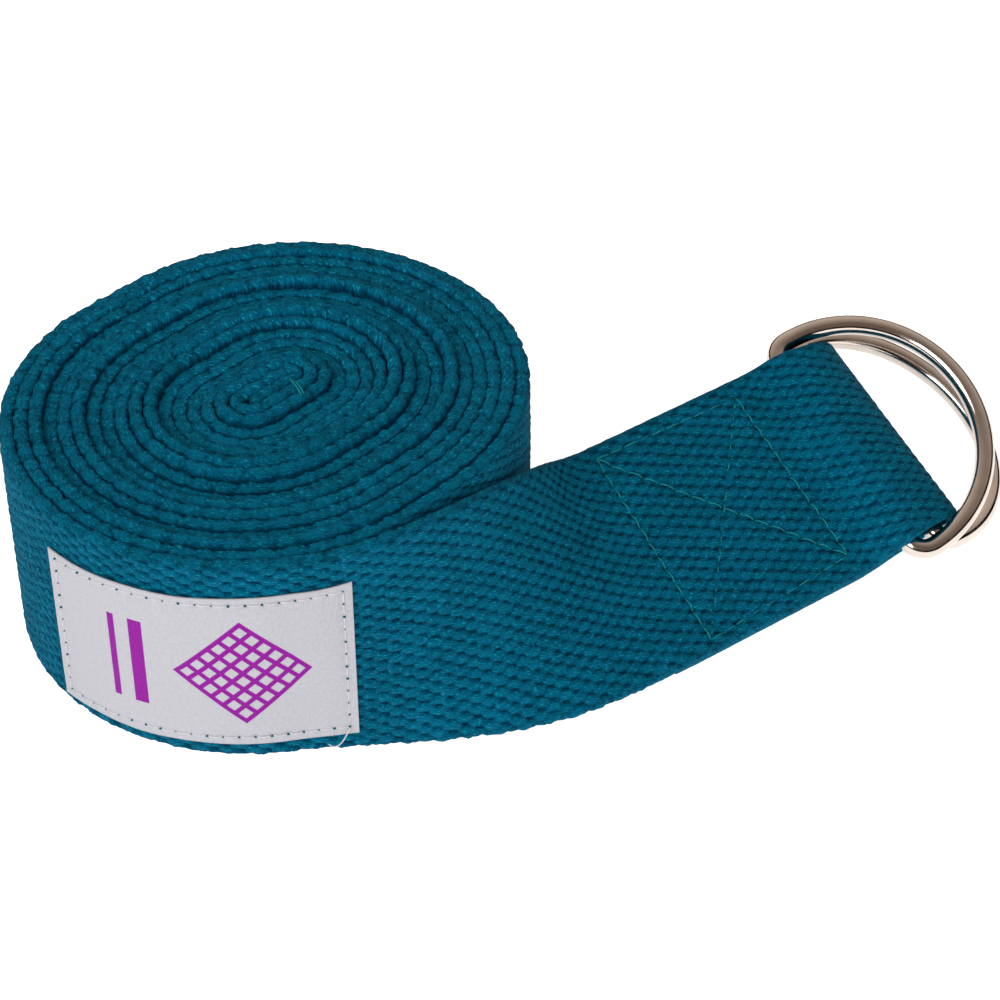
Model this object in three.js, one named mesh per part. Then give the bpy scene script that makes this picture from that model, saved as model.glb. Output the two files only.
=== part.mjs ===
// Stretching strap: a cotton web strap rolled up on its edge, with two D-rings sewn into its free end.
// Millimetres, +Z up. The origin is the centre of the roll, on the face that it stands on.
//
// Places on the strap are given as (along, across, out): along is measured from the line where the
// free end leaves the roll, negative on the roll; across is measured from the strap's lower edge;
// out is measured from the middle of its thickness towards the face that looks out of the roll.
import * as THREE from 'three';

// Driving dimensions
const STRAP_WIDTH = 38;
const STRAP_THICKNESS = 2;
const TURN_GAP = 0.18;
const SEWN_GAP = 0.3;
const HALF_STRAP = STRAP_THICKNESS / 2;

// The roll: turns round a short straight core, where the strap's tail end is hemmed
const TURN_PITCH = STRAP_THICKNESS + TURN_GAP;
const CORE_RADIUS = 0.58;
const CORE_STRAIGHT = 8.7;
const CORE_HEADING = THREE.MathUtils.degToRad(45);
const START_ANGLE = CORE_HEADING - Math.PI / 2;
const WHOLE_TURNS = 17;
const LEAVE_ANGLE = THREE.MathUtils.degToRad(-79.4);
const ANGLE_STEP = THREE.MathUtils.degToRad(15);
const TURNED_ANGLE = WHOLE_TURNS * 2 * Math.PI - (START_ANGLE - LEAVE_ANGLE);
const LEAVE_RADIUS = CORE_RADIUS + (TURN_PITCH * TURNED_ANGLE) / (2 * Math.PI);

// The free end: it leaves the roll on edge and rolls over until its outer face looks up
const END_HEADING = THREE.MathUtils.degToRad(35.8);
const END_START = new THREE.Vector2(62.3, -26.7);
const LEAVE_HANDLE = 11.2;
const END_HANDLE = 22.9;
const END_ROLL = THREE.MathUtils.degToRad(58.7);
const ROLL_FROM = 1.4;
const ROLL_TO = 68;
const END_LIFT = 2.1;
const LIFT_FROM = 34;
const LIFT_TO = 62;
const LEAD_STEP = 2.5;

// The sewn end: the strap goes over both ring bars, folds, and runs back under itself
const LAP_END = 61.8;
const LOOP_MOUTH = 98;
const LOOP_PINCH = 1.1;
const LOOP_SLACK = 2;
const FLAT_STEPS = 8;
const CURVE_STEPS = 6;
const NOSE_STEPS = 9;
const BAR_CLEARANCE = 0.6;
const LAP_OUT = -(STRAP_THICKNESS + SEWN_GAP);

// D-rings of round wire. The tilts turn a ring's bar off the strap's width, towards along and out.
const WIRE_RADIUS = 1.6;
const RING_INNER_WIDTH = 38.6;
const RING_CORNER_RADIUS = 3.2;
const RING_BOW_DEPTH = 20.4;
const RING_HALF_WIDTH = RING_INNER_WIDTH / 2 + WIRE_RADIUS;
const WIRE_SIDES = 10;
const UPPER_RING = { along: 107.2, across: 19, out: 1.1, tiltAlong: -0.03, tiltOut: -0.08, swing: 0.27 };
const LOWER_RING = { along: 114, across: 19, out: -2.05, tiltAlong: 0, tiltOut: -0.16, swing: -0.18 };

// Label and threads
const LABEL = { from: -37.7, to: 9.9, low: 2.5, high: 31.6, rise: 1.3, gap: 0.4, thickness: 0.3 };
const LABEL_STEP = 2;
const LABEL_INNER = HALF_STRAP + LABEL.gap;
const LABEL_OUTER = LABEL_INNER + LABEL.thickness;
const SEAM_INSET = 1.6;
const THREAD = 0.5;
const BOX_SEAM = { along: 82, across: 19.6, length: 28, height: 31.5, thread: 0.6 };
const HEM_TAIL = { radius: 0.25, height: 0.6, spread: 0.9, sides: 8, steps: 10 };
const HEM_TAIL_FROM = new THREE.Vector2(2.9, 1.6);
const HEM_TAIL_TO = new THREE.Vector2(5, -2.5);

const UP = new THREE.Vector3(0, 0, 1);
const smooth = THREE.MathUtils.smoothstep;

const webbing = () => new THREE.MeshStandardMaterial({ color: 0x065d78, roughness: 0.9, metalness: 0 });
const steel = () => new THREE.MeshStandardMaterial({ color: 0xb8a999, roughness: 0.15, metalness: 1 });
const tape = () => new THREE.MeshStandardMaterial({ color: 0xe4e3e8, roughness: 0.7, metalness: 0 });
const thread = () => new THREE.MeshStandardMaterial({ color: 0x1a7f8c, roughness: 0.8, metalness: 0 });

function namedMesh(name, geometry, material) {
  const mesh = new THREE.Mesh(geometry, material);
  mesh.name = name;
  return mesh;
}

// Closed solid through a row of sections with equal numbers of corners. The corners run
// anticlockwise about the direction of travel. A ring joins its last section to its first.
function loft(sections, isRing = false) {
  const corners = sections[0].length;
  const lastRow = sections.length - 1;
  const at = (row, corner) => (row % sections.length) * corners + (corner % corners);
  const indices = [];
  for (let row = 0; row < (isRing ? sections.length : lastRow); row += 1) {
    for (let corner = 0; corner < corners; corner += 1) {
      indices.push(at(row, corner), at(row, corner + 1), at(row + 1, corner + 1));
      indices.push(at(row, corner), at(row + 1, corner + 1), at(row + 1, corner));
    }
  }
  for (let corner = 1; corner < corners - 1 && !isRing; corner += 1) {
    indices.push(at(0, 0), at(0, corner + 1), at(0, corner));
    indices.push(at(lastRow, 0), at(lastRow, corner), at(lastRow, corner + 1));
  }
  const geometry = new THREE.BufferGeometry().setFromPoints(sections.flat());
  geometry.setIndex(indices);
  geometry.computeVertexNormals();
  return geometry;
}

// Middle of the strap's thickness on the roll, at an angle that grows from the core outwards.
// Side is 1 on the turns that go round the core's front end and -1 round its back end.
function rollPoint(angle, side) {
  const radius = CORE_RADIUS + (TURN_PITCH * (angle - START_ANGLE)) / (2 * Math.PI);
  return new THREE.Vector2(
    Math.cos(angle) * radius + (side * CORE_STRAIGHT * Math.cos(CORE_HEADING)) / 2,
    Math.sin(angle) * radius + (side * CORE_STRAIGHT * Math.sin(CORE_HEADING)) / 2,
  );
}

// Plan of the free end: a curve off the roll, then a straight run
function freeEndPlan() {
  const start = rollPoint(START_ANGLE + TURNED_ANGLE, -1);
  const leaveHeading = LEAVE_ANGLE + Math.PI / 2;
  const leave = new THREE.Vector2(Math.cos(leaveHeading), Math.sin(leaveHeading));
  const end = new THREE.Vector2(Math.cos(END_HEADING), Math.sin(END_HEADING));
  const curve = new THREE.CubicBezierCurve(
    start,
    start.clone().addScaledVector(leave, LEAVE_HANDLE),
    END_START.clone().addScaledVector(end, -END_HANDLE),
    END_START,
  );
  return { curve, length: curve.getLength(), end };
}

const PLAN = freeEndPlan();

function planAt(along) {
  if (along < 0) {
    const turned = TURNED_ANGLE + along / LEAVE_RADIUS;
    const angle = START_ANGLE + turned;
    return {
      point: rollPoint(angle, -1),
      heading: new THREE.Vector2(-Math.sin(angle), Math.cos(angle)),
    };
  }
  if (along < PLAN.length) {
    const share = along / PLAN.length;
    return { point: PLAN.curve.getPointAt(share), heading: PLAN.curve.getTangentAt(share) };
  }
  return { point: END_START.clone().addScaledVector(PLAN.end, along - PLAN.length), heading: PLAN.end };
}

// Where the strap is, and which way its length, width and outer face point
function strapFrame(along) {
  const { point, heading } = planAt(along);
  const roll = END_ROLL * smooth(along, ROLL_FROM, ROLL_TO);
  const lift = END_LIFT * smooth(along, LIFT_FROM, LIFT_TO);
  const inward = new THREE.Vector3(-heading.y, heading.x, 0);
  return {
    origin: new THREE.Vector3(point.x, point.y, HALF_STRAP * Math.sin(roll) + lift),
    along: new THREE.Vector3(heading.x, heading.y, 0),
    across: UP.clone().multiplyScalar(Math.cos(roll)).addScaledVector(inward, Math.sin(roll)),
    out: UP.clone().multiplyScalar(Math.sin(roll)).addScaledVector(inward, -Math.cos(roll)),
  };
}

function onStrap(along, across, out) {
  const frame = strapFrame(along);
  return frame.origin.addScaledVector(frame.across, across).addScaledVector(frame.out, out);
}

// Evenly spaced places from one to another, no further apart than a step
function stationsAlong(from, to, step) {
  const count = Math.ceil((to - from) / step);
  return Array.from({ length: count + 1 }, (_, row) => from + ((to - from) * row) / count);
}

function webbingCoil() {
  const stations = [];
  const addStation = (turned, side) => stations.push({ angle: START_ANGLE + turned, side });
  const stepsPerHalf = Math.round(Math.PI / ANGLE_STEP);
  const stepCount = Math.floor(TURNED_ANGLE / ANGLE_STEP);
  for (let step = 0; step <= stepCount; step += 1) {
    const sideAfter = Math.floor(step / stepsPerHalf) % 2 === 0 ? 1 : -1;
    if (step % stepsPerHalf === 0) {
      addStation(step * ANGLE_STEP, -sideAfter);
    }
    addStation(step * ANGLE_STEP, sideAfter);
  }
  addStation(TURNED_ANGLE, -1);
  const sections = stations.map(({ angle, side }) => {
    const middle = rollPoint(angle, side);
    const outward = new THREE.Vector2(Math.cos(angle), Math.sin(angle)).multiplyScalar(HALF_STRAP);
    const inner = middle.clone().sub(outward);
    const outer = middle.clone().add(outward);
    return [
      new THREE.Vector3(inner.x, inner.y, 0),
      new THREE.Vector3(inner.x, inner.y, STRAP_WIDTH),
      new THREE.Vector3(outer.x, outer.y, STRAP_WIDTH),
      new THREE.Vector3(outer.x, outer.y, 0),
    ];
  });
  return namedMesh('webbing_coil', loft(sections), webbing());
}

function webbingLead() {
  const sections = stationsAlong(SEWN_GAP, LAP_END - SEWN_GAP, LEAD_STEP).map((along) => [
    onStrap(along, 0, -HALF_STRAP),
    onStrap(along, STRAP_WIDTH, -HALF_STRAP),
    onStrap(along, STRAP_WIDTH, HALF_STRAP),
    onStrap(along, 0, HALF_STRAP),
  ]);
  return namedMesh('webbing_lead', loft(sections), webbing());
}

// Middle of a ring's bar at a place across the strap, as (along, out)
function barAt(ring, across) {
  const aside = across - ring.across;
  return new THREE.Vector2(ring.along + aside * ring.tiltAlong, ring.out + aside * ring.tiltOut);
}

// Side view of the sewn end at one place across the strap, as points with their outward direction
function loopProfile(across) {
  const upper = barAt(UPPER_RING, across);
  upper.y += (LOOP_SLACK * across) / STRAP_WIDTH;
  const lower = barAt(LOWER_RING, across);
  const radius = WIRE_RADIUS + BAR_CLEARANCE + HALF_STRAP;
  const slope = lower.clone().sub(upper).angle() - 2 * Math.PI;
  const rise = new THREE.CubicBezierCurve(
    new THREE.Vector2(LOOP_MOUTH, 0),
    new THREE.Vector2((LOOP_MOUTH + upper.x) / 2, 0),
    new THREE.Vector2((LOOP_MOUTH + upper.x) / 2, upper.y + radius),
    new THREE.Vector2(upper.x, upper.y + radius),
  );
  const fall = new THREE.CubicBezierCurve(
    new THREE.Vector2(lower.x, lower.y - radius),
    new THREE.Vector2((LOOP_MOUTH + lower.x) / 2, lower.y - radius),
    new THREE.Vector2((LOOP_MOUTH + lower.x) / 2, LAP_OUT),
    new THREE.Vector2(LOOP_MOUTH, LAP_OUT),
  );
  const overUpper = new THREE.EllipseCurve(
    upper.x, upper.y, radius, radius, Math.PI / 2, Math.PI / 2 + slope, true,
  );
  const roundLower = new THREE.EllipseCurve(
    lower.x, lower.y, radius, radius, Math.PI / 2 + slope, -Math.PI / 2, true,
  );
  const rows = [];
  const addCurve = (curve, steps) => {
    for (let step = 0; step < steps; step += 1) {
      rows.push({ point: curve.getPoint(step / steps), heading: curve.getTangent(step / steps) });
    }
  };
  const flatTop = new THREE.LineCurve(new THREE.Vector2(LAP_END, 0), rise.v0);
  const flatLap = new THREE.LineCurve(fall.v3, new THREE.Vector2(LAP_END, LAP_OUT));
  addCurve(flatTop, FLAT_STEPS);
  addCurve(rise, CURVE_STEPS);
  addCurve(overUpper, 2);
  addCurve(roundLower, NOSE_STEPS);
  addCurve(fall, CURVE_STEPS);
  addCurve(flatLap, FLAT_STEPS);
  rows.push({ point: flatLap.v2, heading: flatLap.getTangent(1) });
  return rows;
}

function webbingRingLoop() {
  const front = loopProfile(0);
  const back = loopProfile(STRAP_WIDTH);
  const place = (row, across, offset) => {
    const along = row.point.x - row.heading.y * offset;
    const out = row.point.y + row.heading.x * offset;
    const pinch = LOOP_PINCH * smooth(row.point.x, LOOP_MOUTH, LOWER_RING.along);
    return onStrap(along, across + pinch * Math.sign(STRAP_WIDTH / 2 - across), out);
  };
  const sections = front.map((frontRow, index) => [
    place(frontRow, 0, -HALF_STRAP),
    place(back[index], STRAP_WIDTH, -HALF_STRAP),
    place(back[index], STRAP_WIDTH, HALF_STRAP),
    place(frontRow, 0, HALF_STRAP),
  ]);
  return namedMesh('webbing_ring_loop', loft(sections), webbing());
}

// Centre line of a D-ring, with its bar along X and its bow towards +Y
function ringOutline() {
  const barHalf = RING_HALF_WIDTH - RING_CORNER_RADIUS;
  const outline = new THREE.Path();
  outline.moveTo(-barHalf, 0);
  outline.lineTo(barHalf, 0);
  outline.absarc(barHalf, RING_CORNER_RADIUS, RING_CORNER_RADIUS, -Math.PI / 2, 0, false);
  outline.absellipse(0, RING_CORNER_RADIUS, RING_HALF_WIDTH, RING_BOW_DEPTH, 0, Math.PI, false);
  outline.absarc(-barHalf, RING_CORNER_RADIUS, RING_CORNER_RADIUS, Math.PI, 1.5 * Math.PI, false);
  return outline;
}

function ringGeometry() {
  const points = [];
  for (const curve of ringOutline().curves) {
    const steps = curve.isLineCurve ? 1 : Math.ceil(curve.getLength() / (2 * WIRE_RADIUS));
    for (let step = 0; step < steps; step += 1) {
      points.push(curve.getPointAt(step / steps));
    }
  }
  const sections = points.map((point, index) => {
    const before = points.at(index - 1);
    const after = points[(index + 1) % points.length];
    const incoming = point.clone().sub(before).normalize();
    const heading = incoming.add(after.clone().sub(point).normalize()).normalize();
    return Array.from({ length: WIRE_SIDES }, (_, side) => {
      const turn = (2 * Math.PI * side) / WIRE_SIDES;
      const aside = WIRE_RADIUS * Math.cos(turn);
      return new THREE.Vector3(
        point.x + heading.y * aside,
        point.y - heading.x * aside,
        -WIRE_RADIUS * Math.sin(turn),
      );
    });
  });
  return loft(sections, true);
}

// A group at the middle of a ring's bar, with X along the bar and Y towards the bow
function ringGroup(name, ring) {
  const frame = strapFrame(ring.along);
  const bar = frame.across.clone()
    .addScaledVector(frame.along, ring.tiltAlong)
    .addScaledVector(frame.out, ring.tiltOut)
    .normalize();
  const bow = frame.along.clone()
    .multiplyScalar(Math.cos(ring.swing))
    .addScaledVector(frame.out, Math.sin(ring.swing));
  bow.addScaledVector(bar, -bow.dot(bar)).normalize();
  const group = new THREE.Group();
  group.add(namedMesh(name, ringGeometry(), steel()));
  group.quaternion.setFromRotationMatrix(
    new THREE.Matrix4().makeBasis(bar, bow, bar.clone().cross(bow)),
  );
  group.position.copy(onStrap(ring.along, ring.across, ring.out));
  return group;
}

// Place on the label, which is sewn on a little askew: its right end sits higher than its left
function onLabel(along, across, out) {
  const share = (along - LABEL.from) / (LABEL.to - LABEL.from);
  return onStrap(along, across + LABEL.rise * share, out);
}

function label() {
  const sections = stationsAlong(LABEL.from, LABEL.to, LABEL_STEP).map((along) => [
    onLabel(along, LABEL.low, LABEL_INNER),
    onLabel(along, LABEL.high, LABEL_INNER),
    onLabel(along, LABEL.high, LABEL_OUTER),
    onLabel(along, LABEL.low, LABEL_OUTER),
  ]);
  return namedMesh('label', loft(sections), tape());
}

// One row of stitching all round the label, near its edges. Each section joins the thread's
// inside line to its outside line, and the ends of the long rows make the short ones.
function labelThread() {
  const low = LABEL.low + SEAM_INSET;
  const high = LABEL.high - SEAM_INSET;
  const innerStations = stationsAlong(
    LABEL.from + SEAM_INSET + THREAD, LABEL.to - SEAM_INSET - THREAD, LABEL_STEP,
  );
  const outerStations = [...innerStations];
  outerStations[0] -= THREAD;
  outerStations[outerStations.length - 1] += THREAD;
  const near = LABEL_OUTER + SEWN_GAP;
  const far = near + THREAD;
  const section = (index, inside, outside) => [
    onLabel(innerStations[index], inside, near),
    onLabel(innerStations[index], inside, far),
    onLabel(outerStations[index], outside, far),
    onLabel(outerStations[index], outside, near),
  ];
  const indexes = innerStations.map((_, index) => index);
  const lowRow = indexes.map((index) => section(index, low + THREAD, low));
  const highRow = indexes.reverse().map((index) => section(index, high - THREAD, high));
  return namedMesh('label_seam_thread', loft([...lowRow, ...highRow], true), thread());
}

// A sewn rectangle with both its diagonals, as one flat lattice of thread
function boxSeamShape() {
  const halfThread = BOX_SEAM.thread / 2;
  const outerX = (BOX_SEAM.length + BOX_SEAM.thread) / 2;
  const outerY = (BOX_SEAM.height + BOX_SEAM.thread) / 2;
  const innerX = outerX - BOX_SEAM.thread;
  const innerY = outerY - BOX_SEAM.thread;
  const diagonal = Math.hypot(innerX, innerY);
  const apexX = (halfThread * diagonal) / innerY;
  const apexY = (halfThread * diagonal) / innerX;
  const shape = new THREE.Shape([
    new THREE.Vector2(-outerX, -outerY),
    new THREE.Vector2(outerX, -outerY),
    new THREE.Vector2(outerX, outerY),
    new THREE.Vector2(-outerX, outerY),
  ]);
  for (const side of [1, -1]) {
    shape.holes.push(new THREE.Path([
      new THREE.Vector2(0, side * apexY),
      new THREE.Vector2(innerX - apexX, side * innerY),
      new THREE.Vector2(apexX - innerX, side * innerY),
    ]));
    shape.holes.push(new THREE.Path([
      new THREE.Vector2(side * apexX, 0),
      new THREE.Vector2(side * innerX, innerY - apexY),
      new THREE.Vector2(side * innerX, apexY - innerY),
    ]));
  }
  return shape;
}

function boxSeam(name, out) {
  const geometry = new THREE.ExtrudeGeometry(boxSeamShape(), { depth: THREAD, bevelEnabled: false });
  const mesh = namedMesh(name, geometry, thread());
  const frame = strapFrame(BOX_SEAM.along);
  mesh.quaternion.setFromRotationMatrix(
    new THREE.Matrix4().makeBasis(frame.along, frame.across, frame.out),
  );
  mesh.position.copy(onStrap(BOX_SEAM.along, BOX_SEAM.across, out));
  return mesh;
}

// The cut ends of the tail hem's thread, which lie side by side over the core of the roll
function hemThreadTails() {
  const run = HEM_TAIL_TO.clone().sub(HEM_TAIL_FROM);
  const aside = new THREE.Vector2(-run.y, run.x).normalize().multiplyScalar(HEM_TAIL.spread);
  const height = STRAP_WIDTH + HEM_TAIL.height;
  const corner = (point) => new THREE.Vector3(point.x, point.y, height);
  const path = new THREE.CatmullRomCurve3([
    corner(HEM_TAIL_FROM),
    corner(HEM_TAIL_TO.clone().addScaledVector(run, -0.2)),
    corner(HEM_TAIL_TO.clone().addScaledVector(aside, 0.5)),
    corner(HEM_TAIL_TO.clone().addScaledVector(run, -0.2).add(aside)),
    corner(HEM_TAIL_FROM.clone().add(aside)),
  ]);
  const section = new THREE.Shape().absarc(0, 0, HEM_TAIL.radius, 0, 2 * Math.PI, false);
  const geometry = new THREE.ExtrudeGeometry(section, {
    steps: HEM_TAIL.steps,
    curveSegments: HEM_TAIL.sides,
    extrudePath: path,
  });
  return namedMesh('hem_thread_tails', geometry, thread());
}

const strap = new THREE.Group();
strap.add(webbingCoil());
strap.add(webbingLead());
strap.add(webbingRingLoop());
strap.add(ringGroup('d_ring_upper', UPPER_RING));
strap.add(ringGroup('d_ring_lower', LOWER_RING));
strap.add(label());
strap.add(labelThread());
strap.add(boxSeam('box_x_needle_thread', HALF_STRAP + SEWN_GAP));
strap.add(boxSeam('box_x_bobbin_thread', LAP_OUT - HALF_STRAP - SEWN_GAP - THREAD));
strap.add(hemThreadTails());

export default strap;
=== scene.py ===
"""Looks of a stretching strap: woven cotton web, nickel plated D-rings, a sewn label and the threads.

Places on the strap are (along, across, out) in millimetres, as in the CAD model: along is measured
from the line where the free end leaves the roll, negative on the roll, across from the strap's lower
edge, and out from the middle of its thickness. A mesh is turned into metres when it is made.
"""

import math

import bpy
import numpy as np
from mathutils import Matrix, Vector


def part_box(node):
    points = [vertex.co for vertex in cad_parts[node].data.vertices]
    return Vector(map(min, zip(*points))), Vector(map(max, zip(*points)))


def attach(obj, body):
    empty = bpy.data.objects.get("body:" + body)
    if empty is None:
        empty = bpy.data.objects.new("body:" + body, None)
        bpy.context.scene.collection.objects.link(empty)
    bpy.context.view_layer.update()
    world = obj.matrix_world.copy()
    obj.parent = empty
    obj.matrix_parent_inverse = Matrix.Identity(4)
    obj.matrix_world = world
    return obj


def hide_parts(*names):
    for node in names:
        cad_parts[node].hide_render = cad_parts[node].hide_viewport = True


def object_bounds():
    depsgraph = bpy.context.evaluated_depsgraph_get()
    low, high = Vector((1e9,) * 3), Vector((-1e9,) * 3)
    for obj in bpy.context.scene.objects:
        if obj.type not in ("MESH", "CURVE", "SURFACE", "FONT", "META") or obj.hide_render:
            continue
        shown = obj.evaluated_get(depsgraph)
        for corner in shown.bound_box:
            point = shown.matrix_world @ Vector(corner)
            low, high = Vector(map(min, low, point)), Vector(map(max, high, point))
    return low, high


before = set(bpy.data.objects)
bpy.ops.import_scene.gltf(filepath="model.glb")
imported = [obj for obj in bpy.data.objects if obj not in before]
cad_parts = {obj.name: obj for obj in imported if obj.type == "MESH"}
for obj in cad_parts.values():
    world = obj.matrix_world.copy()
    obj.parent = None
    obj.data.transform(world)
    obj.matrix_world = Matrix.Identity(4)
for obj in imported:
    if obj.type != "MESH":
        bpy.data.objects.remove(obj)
cad_low, cad_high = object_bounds()
coil_low, coil_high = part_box("webbing_coil")

MM = 0.001
FULL_TURN = 2 * math.pi

# The strap, and the roll that most of it is in
STRAP_WIDTH = (coil_high.z - coil_low.z) / MM
STRAP_THICKNESS = 2
HALF_STRAP = STRAP_THICKNESS / 2
TURN_GAP, SNUG_GAP = 0.18, 0.02
TURN_PITCH = STRAP_THICKNESS + TURN_GAP
SNUG_HALF = (TURN_PITCH - SNUG_GAP) / 2
CORE_RADIUS = 0.58
CORE_STRAIGHT = 8.7
CORE_HEADING = math.radians(45)
START_ANGLE = CORE_HEADING - math.pi / 2
LEAVE_ANGLE = math.radians(-79.4)
WHOLE_TURNS = 17
TURNED_ANGLE = WHOLE_TURNS * FULL_TURN - (START_ANGLE - LEAVE_ANGLE)
HALF_TURN_SAMPLES = 181

# The free end, which rolls over until its outer face looks up
END_HEADING = math.radians(35.8)
END_START = np.array([62.3, -26.7])
LEAVE_HANDLE = 11.2
END_HANDLE = 22.9
END_RUN = 80
END_ROLL = math.radians(58.7)
ROLL_FROM, ROLL_TO = 1.4, 68
END_LIFT = 2.1
LIFT_FROM, LIFT_TO = 34, 62
CURVE_SAMPLES = 801
SOFT_FROM, SOFT_TO = 20, 40
SOFT_LENGTH = 4.5
SOFT_STEP = 0.5
SOFT_REACH = 24

# The sewn end, over both ring bars, round and back under itself
LAP_END = 61.8
LAP_OUT = -2.3
LOOP_MOUTH = 98
LOOP_PINCH = 1.1
LOOP_SLACK = 2
LOOP_SAMPLES = 200
LOOP_STEP = 0.34
LOOP_INNER_RELIEF = 0.5
FOLD_FLATNESS = 0.75
FOLD_FROM, FOLD_TO = 104, 115
NOSE_SLACK = 0.5
NOSE_HANDLE = 8.5
BAR_CLEARANCE = 0.6

# D-rings: each one's place on the strap, the tilts of its bar, and how far its bow is swung up
WIRE_RADIUS = 1.6
RING_HALF_WIDTH = 20.9
RING_CORNER_RADIUS = 3.2
RING_BOW_DEPTH = 20.4
UPPER_RING = {"along": 107.2, "across": 19, "out": 1.1, "tilt_along": -0.03, "tilt_out": -0.08,
              "swing": 0.27}
LOWER_RING = {"along": 114, "across": 19, "out": -2.05, "tilt_along": 0, "tilt_out": -0.16,
              "swing": -0.18}
RING_STEP = 0.4
RING_SIDES = 40
WELD_SWELL = 0.07
WELD_LENGTH = 1.2

# Weave: every warp yarn floats over the face in plump grains, staggered from yarn to yarn
YARN_PITCH = 0.985
GRAIN_PITCH = 4.0
GRAIN_HALF_LENGTH = 1.58
GRAIN_HALF_WIDTH = 0.88
GRAIN_TILT = math.radians(-6)
GRAIN_DIVE = 0.2
GRAIN_RELIEF = 0.58
GRAIN_SINK = 0.3
GRAIN_SQUARENESS = 2.4
GRAIN_FULLNESS = 0.52
YARNS_IN_REACH = (-1, 0, 1)

# How much one grain differs from the next: along its yarn, aside, in lean, size and lift
CHANCE_ALONG = 0.16
CHANCE_ASIDE = 0.05
CHANCE_LEAN = 0.07
CHANCE_SIZE = 0.06
CHANCE_LIFT = 0.1
CHANCE_YARNS, CHANCE_GRAINS = 61, 97

# Selvedge: the weft turns round the outermost yarn in a chain of slanted loops
EDGE_ROUND = 1.05
SCALLOP_PITCH = 4.0
SCALLOP_RELIEF = 0.2
LOOP_PITCH = 1.6
LOOP_SLANT = 0.6
LOOP_RELIEF = 0.2
LOOP_FULLNESS = 0.7
LOOP_CREST = -0.2
LOOP_DRIFTS = [(0.9, 5, 300), (0.4, 1.9, 1100)]
RAGGED = 0.14
RAGGED_LENGTH = 0.75
RAGGED_STRANDS = 12
STRAND_SHIFT = 7.3
RAGGED_FIRST = 700
FOOT = SCALLOP_RELIEF + LOOP_RELIEF + RAGGED
STANDS_TO = 30
ROLL_UNEVEN = 1.35
ROLL_UNEVEN_LENGTH = 103
UNEVEN_FROM, UNEVEN_TO = 40, 190

# How much the upper and the lower selvedge are drawn tight, from where to where along the strap
TIGHT_HIGH = [(0.8, 5, 30)]
TIGHT_LOW = [(0.5, 30, 70), (0.4, 98, 112)]

# Painted light and shade on the edges: how light their foot is painted, how much lighter it is
# painted on the crests, and how much darker towards the faces, as painted shade in the grooves
# between turns
EDGE_FROM, EDGE_TO = 0.15, 0.75
EDGE_SHADE = 0.47
EDGE_SHADE_RISE = 0.9
EDGE_SHADE_FALL = 0.85

# Label. Its waves are (height, length, first run of chance), and a hole's dimple (depth, reach)
LABEL_FROM, LABEL_TO = -37.7, 9.9
LABEL_LOW, LABEL_HIGH = 2.5, 31.6
LABEL_RISE = 1.3
LABEL_THICKNESS = 0.3
LABEL_GAP = 0.36
LABEL_INNER = HALF_STRAP + LABEL_GAP
LABEL_STEP = 0.4
LABEL_STITCH = 2.4
LABEL_INSET = 1.35
LABEL_HOLE = (0.24, 0.7)
WAVE_ALONG = (0.05, 5.3, 900)
WAVE_ACROSS = (0.04, 4.1, 1300)
WAVE_OF_EDGE = (0.1, 7.7, 1700)
LABEL_THREAD_RADIUS = 0.11
HOLE_BEAD = 0.17
HOLE_BEAD_SPREAD = 0.07

# Box-X seam: its corners, its holes' dimples, and the groove that its thread draws into the cloth
BOX_CORNERS = [(67.6, 35.7), (95.6, 35.0), (97.8, 3.8), (68.4, 1.9)]
BOX_STITCH = 2.7
BOX_UNEVEN = 0.13
BOX_HOLE = (0.42, 0.55)
GROOVE_DEPTH = 0.22
GROOVE_REACH = 0.6
PRESSED_TURN = 0.9

# A press is nothing from this many squared reaches on
FADED = 30

THREAD_RADIUS = 0.115
THREAD_SIDES = 6

# Camera
CAMERA_PLACE = np.array([35.18, -364.04, 320.73])
CAMERA_ELEVATION = math.radians(39.978)
CAMERA_ROLL = math.radians(-0.464)
CAMERA_LENS = 108
CAMERA_SENSOR = 36
CAMERA_CLIP = (0.01, 20)


# ---------------- the strap's path

def smooth(value, low, high):
    """0 below low, 1 above high, and an even S-curve between them."""
    share = np.clip((value - low) / (high - low), 0, 1)
    return share * share * (3 - 2 * share)


def path_length(points):
    """The length from the start of a path to each of its points."""
    steps = np.linalg.norm(np.diff(points, axis=0), axis=1)
    return np.concatenate([[0], np.cumsum(steps)])


def bezier(corners, shares):
    """Points of a cubic Bezier curve, and the angles of its tangents."""
    first, second, third, last = (np.asarray(corner, float) for corner in corners)
    u = shares[:, None]
    points = (
        (1 - u) ** 3 * first
        + 3 * (1 - u) ** 2 * u * second
        + 3 * (1 - u) * u ** 2 * third
        + u ** 3 * last
    )
    slopes = (
        (1 - u) ** 2 * (second - first)
        + 2 * (1 - u) * u * (third - second)
        + u ** 2 * (last - third)
    )
    return points, np.arctan2(slopes[:, 1], slopes[:, 0])


def half_turn(index):
    """Places and headings on one half turn of the roll, round one end of its straight core."""
    last = min((index + 1) * math.pi, TURNED_ANGLE)
    turned = np.linspace(index * math.pi, last, HALF_TURN_SAMPLES)
    radius = CORE_RADIUS + TURN_PITCH * turned / FULL_TURN
    side = 1 if index % 2 == 0 else -1
    angle = START_ANGLE + turned
    core = side * CORE_STRAIGHT / 2
    x = np.cos(angle) * radius + core * math.cos(CORE_HEADING)
    y = np.sin(angle) * radius + core * math.sin(CORE_HEADING)
    return np.stack([x, y, angle + math.pi / 2], axis=1)


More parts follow.
